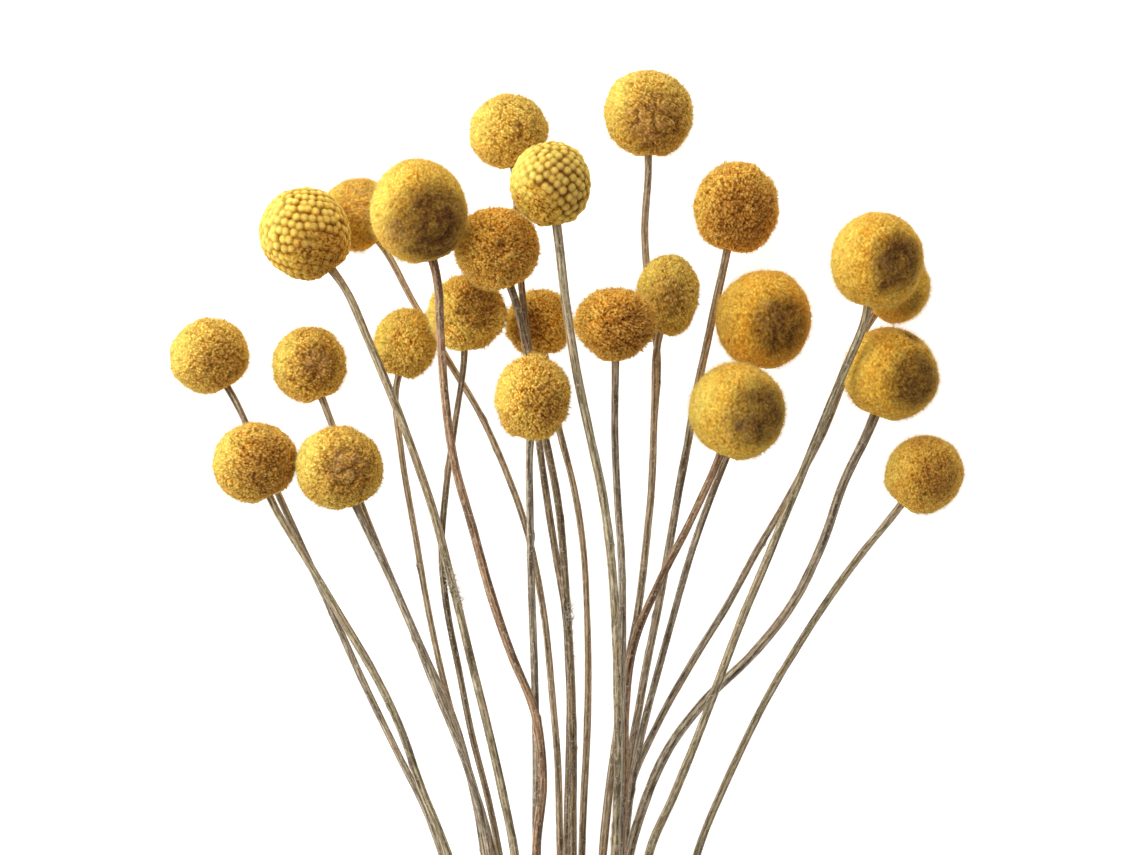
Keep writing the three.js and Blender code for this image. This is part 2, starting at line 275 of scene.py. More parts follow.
class Nodes:
    """A material's node tree, with short calls for the nodes used here."""

    def __init__(self, name):
        self.material = bpy.data.materials.new(name)
        self.material.use_nodes = True
        self.tree = self.material.node_tree
        self.shader = self.tree.nodes["Principled BSDF"]

    def new(self, kind, inputs=None, **settings):
        node = self.tree.nodes.new(kind)
        for key, value in settings.items():
            setattr(node, key, value)
        for key, value in (inputs or {}).items():
            if isinstance(value, bpy.types.NodeSocket):
                self.tree.links.new(value, node.inputs[key])
            else:
                node.inputs[key].default_value = value
        return node

    def mix(self, share, first, second, blend="MIX"):
        """Mixes two colours."""
        node = self.new("ShaderNodeMix", data_type="RGBA", blend_type=blend)
        # A colour mix has its inputs at these places.
        for index, value in ((0, share), (6, first), (7, second)):
            socket = node.inputs[index]
            if isinstance(value, bpy.types.NodeSocket):
                self.tree.links.new(value, socket)
            else:
                socket.default_value = value
        return node.outputs[2]

    def scale(self, value, from_low, from_high, to_low, to_high):
        inputs = {0: value, 1: from_low, 2: from_high, 3: to_low, 4: to_high}
        return self.new("ShaderNodeMapRange", inputs).outputs[0]

    def ramp(self, value, stops):
        node = self.new("ShaderNodeValToRGB", {0: value})
        ramp = node.color_ramp
        while len(ramp.elements) < len(stops):
            ramp.elements.new(0.5)
        for element, (position, colour) in zip(ramp.elements, stops):
            element.position = position
            element.color = colour
        return node.outputs[0]

    def noise(self, vector, scale, detail=3.0, roughness=0.6):
        inputs = {"Vector": vector, "Scale": scale, "Detail": detail, "Roughness": roughness}
        return self.new("ShaderNodeTexNoise", inputs).outputs[0]

    def attribute(self, name):
        return self.new("ShaderNodeAttribute", attribute_name=name)

    def finish(self, colour, roughness, bump_height, bump_strength, bump_distance):
        bump = self.new("ShaderNodeBump", {"Height": bump_height, "Strength": bump_strength,
                                           "Distance": bump_distance})
        self.tree.links.new(bump.outputs[0], self.shader.inputs["Normal"])
        self.tree.links.new(colour, self.shader.inputs["Base Color"])
        if isinstance(roughness, bpy.types.NodeSocket):
            self.tree.links.new(roughness, self.shader.inputs["Roughness"])
        else:
            self.shader.inputs["Roughness"].default_value = roughness
        return self.material


def head_material(name, florets, aged_and_shaded, speck_strength):
    """florets are the colours from the gaps between the grains to their tips: the dark gap colours are
    partly the florets' own colour and partly painted shade.
    """
    nodes = Nodes(name)
    marks = nodes.attribute("marks")
    split = nodes.new("ShaderNodeSeparateColor", {0: marks.outputs["Color"]})
    relief, tint, age_and_shade = split.outputs[0], split.outputs[1], split.outputs[2]
    warmth = marks.outputs["Alpha"]
    place = nodes.new("ShaderNodeTexCoord").outputs["Object"]

    # Deeper places are painted darker. This is partly the florets' own colour and partly painted shade
    # in the gaps and creases.
    colour = nodes.ramp(relief, list(zip((0.0, 0.30, 0.62, 1.0), florets)))
    warm = nodes.mix(0.75, colour, srgb(255, 204, 66), "MULTIPLY")
    # Low warmth turns towards pale lemon. This comes partly from paler heads and partly from the
    # painted highlight on each head's lit side.
    pale = nodes.mix(0.62, colour, srgb(255, 236, 116))
    colour = nodes.mix(nodes.scale(warmth, 0.5, 1.0, 0.0, 1.0), colour, warm)
    colour = nodes.mix(nodes.scale(warmth, 0.5, 0.0, 0.0, 1.0), colour, pale)

    # Aged patches, which also carry painted shade, have soft, blotchy edges.
    blotches = nodes.noise(place, 420.0)
    withered_and_shaded = nodes.ramp(relief, list(zip((0.0, 0.5, 1.0), aged_and_shaded)))
    edge = nodes.new("ShaderNodeMath", {0: age_and_shade, 1: nodes.scale(blotches, 0.3, 0.7, 0.85, 1.1)},
                     operation="MULTIPLY", use_clamp=True).outputs[0]
    colour = nodes.mix(edge, colour, withered_and_shaded)
    grain = nodes.attribute("grain").outputs["Vector"]
    dust = nodes.new("ShaderNodeSeparateXYZ", {0: grain}).outputs[0]
    colour = nodes.mix(dust, colour, nodes.mix(0.45, colour, srgb(190, 150, 108)))

    # Single grains differ in brightness, and some are dark specks.
    brightness = nodes.scale(tint, 0.0, 1.0, 0.80, 1.18)
    bright = nodes.new("ShaderNodeCombineColor", {0: brightness, 1: brightness, 2: brightness})
    colour = nodes.mix(1.0, colour, bright.outputs[0], "MULTIPLY")
    specks = nodes.noise(place, 1500.0, 2.0, 0.7)
    colour = nodes.mix(nodes.scale(specks, 0.60, 0.72, 0.0, speck_strength), colour, srgb(96, 60, 22))

    nodes.shader.inputs["Specular IOR Level"].default_value = 0.15
    nodes.shader.inputs["Sheen Weight"].default_value = 0.8
    nodes.shader.inputs["Sheen Roughness"].default_value = 0.35
    nodes.shader.inputs["Sheen Tint"].default_value = srgb(255, 232, 160)
    down = nodes.noise(place, 2600.0, 2.0)
    return nodes.finish(colour, 0.92, down, 0.5, 0.00025)


def stem_material(name, light, dark):
    nodes = Nodes(name)
    marks = nodes.attribute("marks")
    split = nodes.new("ShaderNodeSeparateColor", {0: marks.outputs["Color"]})
    groove, hair, pith = split.outputs[0], split.outputs[1], split.outputs[2]
    grain = nodes.attribute("grain").outputs["Vector"]
    stretched = nodes.new("ShaderNodeMapping", {"Vector": grain, "Scale": (2.4, 2.4, 0.16)}).outputs[0]
    patches = nodes.new("ShaderNodeMapping", {"Vector": grain, "Scale": (0.6, 0.6, 0.045)}).outputs[0]

    streaks = nodes.noise(stretched, 1.6, 4.0, 0.65)
    patch = nodes.noise(patches, 1.0, 2.0)
    colour = nodes.mix(nodes.scale(streaks, 0.40, 0.62, 0.0, 1.0), light, dark)
    colour = nodes.mix(nodes.scale(patch, 0.52, 0.66, 0.0, 0.7), colour, srgb(78, 62, 44))
    colour = nodes.mix(nodes.scale(patch, 0.46, 0.36, 0.0, 0.4), colour, srgb(204, 170, 132))
    # Painted shade: the grooves between the ribs are painted dark brown.
    colour = nodes.mix(nodes.scale(groove, 0.0, 0.8, 0.75, 0.0), colour, srgb(50, 38, 25))
    dust = nodes.noise(nodes.new("ShaderNodeTexCoord").outputs["Object"], 900.0, 3.0, 0.7)
    colour = nodes.mix(nodes.scale(dust, 0.56, 0.70, 0.0, 0.6), colour, srgb(232, 222, 200))
    colour = nodes.mix(hair, colour, srgb(238, 230, 210))
    colour = nodes.mix(pith, colour, srgb(222, 206, 168))

    nodes.shader.inputs["Specular IOR Level"].default_value = 0.25
    nodes.shader.inputs["Sheen Weight"].default_value = 0.2
    nodes.shader.inputs["Sheen Roughness"].default_value = 0.4
    roughness = nodes.scale(streaks, 0.2, 0.8, 0.62, 0.9)
    return nodes.finish(colour, roughness, streaks, 0.6, 0.00025)


HEAD_MATERIALS = {
    "granular": head_material(
        "dried_florets_granular",
        (srgb(140, 86, 26), srgb(218, 156, 54), srgb(246, 200, 84), srgb(254, 236, 144)),
        (srgb(116, 68, 24), srgb(168, 110, 44), srgb(212, 156, 80)), 0.5),
    "felted": head_material(
        "dried_florets_felted",
        (srgb(170, 106, 30), srgb(228, 168, 54), srgb(248, 202, 76), srgb(255, 232, 132)),
        (srgb(78, 46, 20), srgb(106, 66, 28), srgb(146, 96, 44)), 0.3),
    "beaded": head_material(
        "dried_florets_beaded",
        (srgb(100, 60, 14), srgb(168, 116, 32), srgb(216, 170, 60), srgb(248, 224, 116)),
        (srgb(80, 48, 16), srgb(146, 98, 36), srgb(212, 172, 90)), 0.1),
}
STEM_MATERIALS = {
    name: stem_material(f"dried_stem_{name}", srgb(*light), srgb(*dark))
    for name, (light, dark) in STEM_TONES.items()
}

# ------------------------------------------------------------------ spikes, for tips, fuzz and hairs

def spikes(parts, roots, directions, lengths, width, marks, root_map):
    """Adds closed three-sided spikes. root_map is where each spike takes its colour on the map."""
    # Those that point into the surface under the bunch are left out.
    clear = roots[:, 2] + directions[:, 2] * lengths > cad_box[0][2]
    roots, directions, lengths = roots[clear], directions[clear], lengths[clear]
    marks, root_map = marks[clear], root_map[clear]
    count = len(roots)
    side = unit(np.cross(directions, [0.31, 0.77, 0.55]))
    other = np.cross(directions, side)
    corners = np.empty((count, 4, 3))
    for corner in range(3):
        angle = 2 * math.pi * corner / 3
        spread = side * math.cos(angle) + other * math.sin(angle)
        corners[:, corner] = roots + spread * width
    corners[:, 3] = roots + directions * lengths[:, None]
    pattern = np.array([[0, 2, 1], [0, 1, 3], [1, 2, 3], [2, 0, 3]])
    faces = (pattern[None] + 4 * np.arange(count)[:, None, None]).reshape(-1, 3)
    face_map = np.repeat(root_map[:, None], 12, axis=1).reshape(-1, 3, 2)
    parts.add(corners.reshape(-1, 3), np.repeat(marks, 4, axis=0), faces, face_map)


# ------------------------------------------------------------------ heads

CUBE_CELLS = 70
TILE_MARGIN = 0.03
TUFT_SPIKES = 6
PIT_SIZE = 0.25  # dents smaller than this are coloured dark brown
LOST_GRAINS = 0.07  # the share of grains that have dropped out
LOST_GRAIN_LIFT = -0.4
HEIGHT_LEVEL = 0.9  # how much of a bud's or grain's height lies below the CAD surface
CREASE_WIDTH = 0.28  # of the height of the noise that draws the wrinkles
# Where the painted highlight lies on every head: towards the key lamp.
PAINTED_HIGHLIGHT_PLACE = (-0.92, 0.3)  # a direction on the head, as in HEADS
BASE_DIP_MM = 0.8  # around the stem
BARE_BELOW = -0.9  # on the axis of a head of radius 1: no spikes stand around the stem


def cube_sphere(cells):
    """A sphere of even squares: directions, faces, and a map of six tiles."""
    steps = np.tan(np.linspace(-math.pi / 4, math.pi / 4, cells + 1))
    shares = np.linspace(TILE_MARGIN, 1 - TILE_MARGIN, cells + 1)
    across, up = np.meshgrid(steps, steps, indexing="ij")
    share_across, share_up = np.meshgrid(shares, shares, indexing="ij")
    axes = np.eye(3)
    directions, faces, corner_map = [], [], []
    grid = np.arange((cells + 1) ** 2).reshape(cells + 1, cells + 1)
    squares = np.stack([grid[:-1, :-1], grid[1:, :-1], grid[1:, 1:], grid[:-1, 1:]], axis=-1)
    squares = squares.reshape(-1, 4)
    for tile in range(6):
        axis, sign = tile % 3, 1 - 2 * (tile // 3)
        first, second = axes[(axis + 1) % 3], axes[(axis + 2) % 3] * sign
        face = axes[axis] * sign + across[..., None] * first + up[..., None] * second
        directions.append(unit(face).reshape(-1, 3))
        faces.append(squares + tile * grid.size)
        place = [(tile % 3 + share_across) / 3, (tile // 3 + share_up) / 2]
        corner_map.append(np.stack(place, axis=-1).reshape(-1, 2))
    directions = np.concatenate(directions)
    faces = np.concatenate(faces)
    corner_map = np.concatenate(corner_map)
    _, first_use, back = np.unique(
        np.round(directions, 6), axis=0, return_index=True, return_inverse=True)
    back = back.ravel()
    return directions[first_use], back[faces], corner_map[faces], corner_map[first_use]


SPHERE, SPHERE_FACES, SPHERE_FACE_MAP, SPHERE_POINT_MAP = cube_sphere(CUBE_CELLS)


def golden_points(count, rng, jitter):
    """Points spread over a sphere along a golden spiral, each moved a little."""
    index = np.arange(count) + 0.5
    height = 1 - 2 * index / count
    angle = index * math.pi * (3 - math.sqrt(5))
    ring = np.sqrt(1 - height ** 2)
    points = np.stack([ring * np.cos(angle), ring * np.sin(angle), height], axis=-1)
    return unit(points + rng.normal(scale=jitter, size=points.shape))


def facing(right, up):
    """The direction that is seen at this place on a ball, from above."""
    return unit(np.array([right, up, math.sqrt(max(0.02, 1 - right ** 2 - up ** 2))]))


class Cells:
    """Even cells all over a head, such as its grains. A share runs from 0 in a cell's middle to 1."""

    def __init__(self, head, gap_mm, jitter, reach):
        self.count = int(4 * math.pi * head.radius_mm ** 2 / (0.87 * gap_mm ** 2))
        middles = golden_points(self.count, head.rng, jitter * gap_mm / head.radius_mm)
        self.index, away = nearest(middles @ head.turn.T, head.directions)
        self.share = np.clip(away * head.radius_mm / (reach * gap_mm), 0, 1)
        self.round = np.sqrt(1 - self.share ** 2)


class Head:
    """One flower head. What varies over it is an array with a number for each corner of SPHERE."""

    def __init__(self, number, tip, below_tip):
        self.name = f"head_{number:02d}"
        self.look = HEADS[number]
        self.style = STYLES[self.look["style"]]
        self.beaded = self.look["style"] == "beaded"
        self.rng = np.random.default_rng(700 + number)
        self.fit(tip, below_tip)
        self.lay_florets()
        self.age_and_shade()

    def fit(self, tip, below_tip):
        """Measures the CAD head along and around its axis, which runs on from the stem."""
        cad = node_vertices(self.name)
        axis = unit(tip - below_tip)
        along = cad @ axis
        self.half_tall = (along.max() - along.min()) / 2
        flat = cad - np.outer(along, axis)
        middle_flat = np.cross(axis, np.cross(tip, axis))
        self.half_wide = np.linalg.norm(flat - middle_flat, axis=1).max()
        self.centre = middle_flat + axis * (along.max() + along.min()) / 2
        side = unit(np.cross(axis, [0.0, 0.0, 1.0]))
        self.turn = np.stack([side, np.cross(axis, side), axis], axis=-1)
        self.directions = SPHERE @ self.turn.T
        self.radius_mm = (2 * self.half_wide + self.half_tall) / 3 / MM

    def ripples(self, length_mm):
        return waves(self.directions * self.radius_mm, length_mm, self.rng)

    def spot(self, right, up, full, faded):
        """1 within the angle full of a place on the head, and 0 beyond the angle faded."""
        near = self.directions @ facing(right, up)
        return smoothstep(math.cos(faded), math.cos(full), near)

    def lay_florets(self):
        """Grains, and the buds that they form, on a spiral about the axis."""
        self.buds = Cells(self, self.style["bud_gap"], 0.09 if self.beaded else 0.12, 0.56)
        self.grains = Cells(self, self.style["grain_gap"], 0.22, 0.58)
        grain_lift = self.rng.uniform(0.35, 1.15, self.grains.count)
        grain_lift[self.rng.random(self.grains.count) < LOST_GRAINS] = LOST_GRAIN_LIFT
        self.grain_lift = grain_lift[self.grains.index]
        self.bud_lift = self.rng.uniform(0.7, 1.05, self.buds.count)[self.buds.index]

    def age_and_shade(self):
        """Where the florets are aged, with painted shade in the same patches; where they are dusty,
        creased and opened; and where the highlight is painted.
        """
        # The aged patch is partly painted shade: most lie right of the middle, away from the key lamp.
        right, up, size, strength = self.look["aged_and_shaded"]
        aged_and_shaded = strength * self.spot(right, up, 0.35 * size, 1.25 * size)
        self.aged_and_shaded = aged_and_shaded * np.clip(0.92 + 0.16 * self.ripples(6.0), 0, 1)
        right, up, size, strength = self.look.get("dusty", (0.0, 0.0, 0.5, 0.0))
        dusty = strength * self.spot(right, up, 0.3 * size, 1.3 * size)
        self.dusty = dusty * np.clip(0.6 + 0.9 * self.ripples(3.5), 0, 1)
        self.crease = np.exp(-((self.ripples(9.0) / CREASE_WIDTH) ** 2))
        right, up, size = self.look.get("opened", (0.0, -1.0, 0.01))
        opened = self.spot(right, up, 0.5 * size, 1.3 * size)
        self.opened = opened * np.clip(0.8 + 0.6 * self.ripples(5.0), 0, 1)
        # Painted highlight: the florets towards the upper left of each head, where the key lamp shines
        # from, are painted paler and more lemon.
        painted_highlight = self.spot(*PAINTED_HIGHLIGHT_PLACE, 0.2, 1.0) * (0.35 - 0.45 * self.look["tone"])
        self.painted_highlight = painted_highlight * np.clip(0.9 + 0.4 * self.ripples(4.0), 0, 1)

    def surface(self):
        """The corners of the head's skin."""
        # Aged florets shrink, which leaves wrinkles.
        height_mm = -self.look["wrinkle"] * (0.1 + 0.9 * self.aged_and_shaded) * self.crease
        bud_height_mm = self.style["bud_height"] * (1 - 0.7 * self.opened)
        height_mm = height_mm + bud_height_mm * (self.buds.round * self.bud_lift - HEIGHT_LEVEL)
        grain_height_mm = self.style["grain_height"] * (1 + 3 * self.opened)
        height_mm = height_mm + grain_height_mm * (self.grains.round * self.grain_lift - HEIGHT_LEVEL)
        height_mm = height_mm + 0.35 * self.ripples(24.0)
        height_mm = height_mm + self.style["lump"] * self.ripples(7.0)
        for right, up, size, lump in self.look.get("shape", []):
            angle = np.arccos(np.clip(self.directions @ facing(right, up), -1, 1))
            near = np.exp(-((angle / size) ** 2))
            height_mm = height_mm + lump * near
            # Small dents are coloured dark brown, like the aged patches.
            if lump < 0 and size < PIT_SIZE:
                self.aged_and_shaded = np.maximum(self.aged_and_shaded, near)
        # The florets close in around the stem.
        height_mm = height_mm - BASE_DIP_MM * (1 - smoothstep(-1.0, -0.93, SPHERE[:, 2]))
        ellipsoid = SPHERE * np.array([self.half_wide, self.half_wide, self.half_tall])
        return self.centre + (ellipsoid + SPHERE * height_mm[:, None] * MM) @ self.turn.T

    def marks(self):
        """What the material reads: relief, which also paints shade in gaps and creases; tint; the aged
        patches with their painted shade; and warmth, which carries the painted highlight.
        """
        if self.beaded:
            relief = 0.12 + 0.88 * self.buds.round ** 1.5 * (0.8 + 0.2 * self.grains.round)
            relief = relief * (1 - self.opened) + (0.1 + 0.7 * self.grains.round) * self.opened
        else:
            dot = 1 - smoothstep(0.25, 0.95, self.grains.share)
            relief = 0.2 * self.buds.round + 0.85 * dot * np.clip(self.grain_lift, 0, 1)
        depth = 0.3 * min(self.look["wrinkle"], 1.0)
        # Painted shade: creases are painted darker, most of all where the florets are aged.
        relief = relief - depth * (0.2 + 0.8 * self.aged_and_shaded) * self.crease
        relief = 0.5 + self.style["contrast"] * (relief - 0.5)
        relief = np.clip(relief + 0.08 * self.ripples(3.0), 0, 1)
        middle_tint = 0.85 if self.look["style"] == "ragged" else 0.5
        tint = self.rng.normal(middle_tint, 0.24, self.grains.count)[self.grains.index]
        tint = np.clip(tint + 0.12 * self.ripples(5.0), 0, 1)
        warmth = 0.5 + 0.5 * self.look["tone"] + 0.10 * self.ripples(5.0) + 0.3 * self.opened
        uneven = self.rng.normal(scale=0.05, size=self.grains.count)[self.grains.index]
        # The painted highlight lowers the warmth, so that the material paints it pale lemon.
        warmth = warmth + uneven - self.painted_highlight
        if self.beaded:
            tint = np.clip(self.rng.normal(0.5, 0.14, self.buds.count)[self.buds.index], 0, 1)
        return np.stack([relief, tint, self.aged_and_shaded, np.clip(warmth, 0, 1)], axis=-1)

    def add_tips(self, parts, surface, marks):
        """Tips of single florets stand out, some in tufts, with finer pale down between."""
        style, rng = self.style, self.rng
        usable = np.flatnonzero(SPHERE[:, 2] > BARE_BELOW)
        singles = rng.choice(usable, style["tips"], replace=False)
        tufts = np.repeat(rng.choice(usable, style["tufts"], replace=False), TUFT_SPIKES)
        fuzz = rng.choice(usable, style["fuzz"], replace=False)
        for pick, length_mm, width_mm, brighter, loose in (
            (singles, style["tip_length"], 0.21, 0.15, 0.25),
            (tufts, 1.7 * style["tip_length"], 0.21, 0.10, 0.4),
            (fuzz, style["fuzz_length"], 0.05, rng.uniform(0.1, 0.6, len(fuzz)), 0.5),
        ):
            lean = unit(self.directions[pick] + rng.normal(scale=loose, size=(len(pick), 3)))
            lengths = length_mm * MM * (0.4 + 0.9 * rng.random(len(pick)) ** 2.5)
            tip_marks = marks[pick].copy()
            tip_marks[:, 0] = np.clip(tip_marks[:, 0] + brighter, 0, 1)
            roots = surface[pick] - lean * 0.1 * MM
            spikes(parts, roots, lean, lengths, width_mm * MM, tip_marks, SPHERE_POINT_MAP[pick])


def build_head(number, tip, below_tip):
    head = Head(number, tip, below_tip)
    surface = head.surface()
    marks = head.marks()
    # The old down travels as the first number of the grain, which a head doesn't use otherwise.
    blank = np.zeros_like(head.dusty)
    dust = np.stack([head.dusty, blank, blank], axis=-1)
    parts = Parts()
    parts.add(surface, marks, SPHERE_FACES, SPHERE_FACE_MAP, dust)
    head.add_tips(parts, surface, marks)

    piece = parts.build(f"florets_{number:02d}", HEAD_MATERIALS[head.style["finish"]])
    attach(piece, "root")
    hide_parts(head.name)


# ------------------------------------------------------------------ stems

STEM_STEP = 1.5 * MM
STEM_SIDES = 18
MAP_ROWS = 6
PITH_SHARE = 0.72
RIB_HEIGHT_MM = 0.11
SCAR_COUNT = 8
HAIR_COUNT = 260
TUFT_HAIRS = 90


def smooth_line(points, step):
    """Evenly spaced points on a smooth line through the given ones."""
    gaps = np.linalg.norm(np.diff(points, axis=0), axis=1)
    at = np.concatenate([[0], np.cumsum(gaps)])
    slopes = np.gradient(points, at, axis=0)
    fine = []
    for index, gap in enumerate(gaps):
        t = np.linspace(0, 1, max(2, int(gap / (0.2 * step))), endpoint=False)[:, None]
        fine.append(
            (2 * t ** 3 - 3 * t ** 2 + 1) * points[index]
            + (t ** 3 - 2 * t ** 2 + t) * gap * slopes[index]
            + (3 * t ** 2 - 2 * t ** 3) * points[index + 1]
            + (t ** 3 - t ** 2) * gap * slopes[index + 1])
    fine = np.concatenate(fine + [points[-1:]])
    run = np.concatenate([[0], np.cumsum(np.linalg.norm(np.diff(fine, axis=0), axis=1))])
    even = np.linspace(0, run[-1], int(run[-1] / step) + 1)
    return np.stack([np.interp(even, run, fine[:, axis]) for axis in range(3)], axis=-1), even


def side_vectors(line):
    """Two vectors across the line at each point, that turn as little as they can."""
    tangents = unit(np.gradient(line, axis=0))
    first = np.empty_like(line)
    first[0] = unit(np.cross(tangents[0], [0.0, 0.0, 1.0]))
    for index in range(1, len(line)):
        moved = first[index - 1] - tangents[index] * (first[index - 1] @ tangents[index])
        first[index] = unit(moved)
    return tangents, first, np.cross(tangents, first)


def strip_map(ring_count):
    """The map of a stem's skin: a few strips, one above another."""
    squares = np.arange(ring_count - 1)
    rows = np.minimum(squares * MAP_ROWS // (ring_count - 1), MAP_ROWS - 1)
    per_row = math.ceil((ring_count - 1) / MAP_ROWS) + 1
    start = np.searchsorted(rows, rows)

    def corner(ring_step, side_step):
        u = 0.01 + 0.96 * (squares - start + ring_step) / per_row
        up = (np.arange(STEM_SIDES) + side_step)[None] / STEM_SIDES
        v = (rows[:, None] + 0.06 + 0.88 * up) / (MAP_ROWS + 0.4)
        return np.stack([np.broadcast_to(u[:, None], v.shape), v], axis=-1)

    return np.stack([corner(0, 0), corner(0, 1), corner(1, 1), corner(1, 0)], axis=2)


class Stem:
    """One stem, in rings of STEM_SIDES corners, from the cut end to the tip in the head."""

    def __init__(self, number, centres):
        self.number = number
        self.rng = np.random.default_rng(300 + number)
        self.line, self.run = smooth_line(centres, STEM_STEP)
        self.run_mm = self.run / MM
        self.tangents, self.first, self.second = side_vectors(self.line)
        self.angles = 2 * math.pi * np.arange(STEM_SIDES) / STEM_SIDES
        self.ring_count = len(self.line)
        self.index = np.arange(self.ring_count * STEM_SIDES).reshape(self.ring_count, STEM_SIDES)
        self.face_map = strip_map(self.ring_count)
        self.parts = Parts()

    def ripples(self, length_mm):
        return waves(self.run_mm[:, None] * np.array([[1.0, 0, 0]]), length_mm, self.rng)

    def add_skin(self, cad_radius):
        # A slight waver, and a taper towards the head with a small flare just under it.
        length = self.run[-1]
        waver = np.stack([self.ripples(38.0) for _ in range(2)], axis=-1)
        ends = np.clip(np.minimum(self.run, length - self.run) / (12 * MM), 0, 1)
        sideways = self.first * waver[:, :1] + self.second * waver[:, 1:]
        line = self.line + sideways * ends[:, None] * 0.16 * MM
        taper = 1.04 - 0.16 * self.run / length + 0.14 * np.exp(-(length - self.run) / (4 * MM))
        uneven = 1 + 0.035 * self.ripples(9.0)
        radius_mm = cad_radius / MM * taper * uneven

        # Ribs run along the stem and twist slowly.
        rib_count = int(self.rng.integers(5, 8))
        twist = self.rng.uniform(-0.012, 0.012)
        turned = self.angles[None] + twist * self.run_mm[:, None]
        rib = np.cos(rib_count * turned + self.rng.uniform(0, 6))
        relief_mm = RIB_HEIGHT_MM * rib * (0.8 + 0.5 * self.ripples(30.0))[:, None]
        radii = (radius_mm[:, None] + self.with_scars(relief_mm)) * MM
        across = self.first[:, None] * np.cos(self.angles)[None, :, None]
        across = across + self.second[:, None] * np.sin(self.angles)[None, :, None]
        self.corners = line[:, None] + across * radii[..., None]

        # groove is 0 down in the grooves, where the material paints shade, and 1 on the ribs.
        groove = np.clip(0.5 + 0.5 * rib + 0.15 * self.rng.normal(size=rib.shape), 0, 1)
        blank = np.zeros_like(groove)
        marks = np.stack([groove, blank, blank, blank], axis=-1)
        grain = np.stack([
            np.broadcast_to(np.cos(self.angles), groove.shape) + 7 * self.number,
            np.broadcast_to(np.sin(self.angles), groove.shape),
            np.broadcast_to(self.run_mm[:, None], groove.shape)], axis=-1)
        beside = np.roll(self.index, -1, axis=1)
        squares = np.stack([self.index[:-1], beside[:-1], beside[1:], self.index[1:]], axis=-1)
        self.parts.add(self.corners.reshape(-1, 3), marks.reshape(-1, 4), squares.reshape(-1, 4),
                       self.face_map.reshape(-1, 4, 2), grain.reshape(-1, 3))

    def with_scars(self, relief_mm):
        """Adds old leaf scars to the relief. They stand out on the stem's upper side."""
        scars = [(self.rng.uniform(0.05, 0.92) * self.run[-1] / MM, self.rng.uniform(-math.pi, 0))
                 for _ in range(SCAR_COUNT)]
        for scar_at, scar_angle in scars:
            turn = np.angle(np.exp(1j * (self.angles[None] - scar_angle)))
            away = self.run_mm[:, None] - scar_at
            reach = np.where(away < 0, 1.6, 0.6)
            shape = np.exp(-((turn / 0.5) ** 2)) * np.exp(-((away / reach) ** 2))
            relief_mm = relief_mm + self.rng.uniform(0.15, 0.55) * shape
        return relief_mm

    def add_end(self, ring, outward):
        """Closes an end, with pale pith inside a darker skin. outward is 1 at the tip."""
        disc = np.stack([np.cos(self.angles), np.sin(self.angles)], axis=-1)
        side = np.arange(STEM_SIDES)
        after = (side + 1) % STEM_SIDES
        rim = self.corners[ring]
        centre = rim.mean(axis=0)
        inset = -outward * self.tangents[ring] * MM
        inner = centre + (rim - centre) * PITH_SHARE + 0.12 * inset
        hub = (centre + 0.3 * inset)[None]
        start = self.parts.count
        cap = np.concatenate([inner, hub])
        pith = np.zeros((len(cap), 4))
        pith[:, 2] = 1.0
        cap_disc = np.concatenate([PITH_SHARE * disc, [[0.0, 0.0]]])
        cap_grain = np.concatenate([cap_disc, np.full((len(cap), 1), self.run_mm[ring])], axis=1)
        rim_index = self.index[ring]
        band = np.stack([rim_index, rim_index[after], start + after, start + side], axis=-1)
        fan = np.stack([start + side, start + after, np.full(STEM_SIDES, start + STEM_SIDES)], axis=-1)
        place = np.array([0.1 + 0.2 * (outward > 0), 0.97])
        around = disc * 0.024 + place
        within = cap_disc * 0.024 + place
        band_map = np.stack([around, around[after], within[after], within[side]], axis=1)
        hub_map = np.repeat(within[-1:], STEM_SIDES, axis=0)
        fan_map = np.stack([within[side], within[after], hub_map], axis=1)
        if outward < 0:
            band, fan = band[:, ::-1], fan[:, ::-1]
            band_map, fan_map = band_map[:, ::-1], fan_map[:, ::-1]
        self.parts.add(cap, pith, band, band_map, cap_grain, shared=True)
        self.parts.add_faces(fan, fan_map)

    def add_hairs(self, at, angle, lengths, width):
        """Woolly hairs. at is how far along the stem each one stands, as a share of its length."""
        ring = np.clip((at * (self.ring_count - 1)).astype(int), 1, self.ring_count - 2)
        out = self.first[ring] * np.cos(angle)[:, None] + self.second[ring] * np.sin(angle)[:, None]
        side = np.clip((angle / (2 * math.pi) * STEM_SIDES).astype(int), 0, STEM_SIDES - 1)
        roots = self.corners[ring, side] - out * 0.05 * MM
        lean = out * self.rng.uniform(0.25, 1.0, (len(at), 1))
        lean = lean + self.tangents[ring] * self.rng.normal(0.3, 0.9, (len(at), 1))
        lean = unit(lean + self.rng.normal(scale=0.25, size=out.shape))
        hair_marks = np.zeros((len(at), 4))
        hair_marks[:, 1] = self.rng.uniform(0.5, 1.0, len(at))
        hair_marks[:, 0] = 1.0
        spikes(self.parts, roots, lean, lengths, width, hair_marks, self.face_map[ring, side, 0])


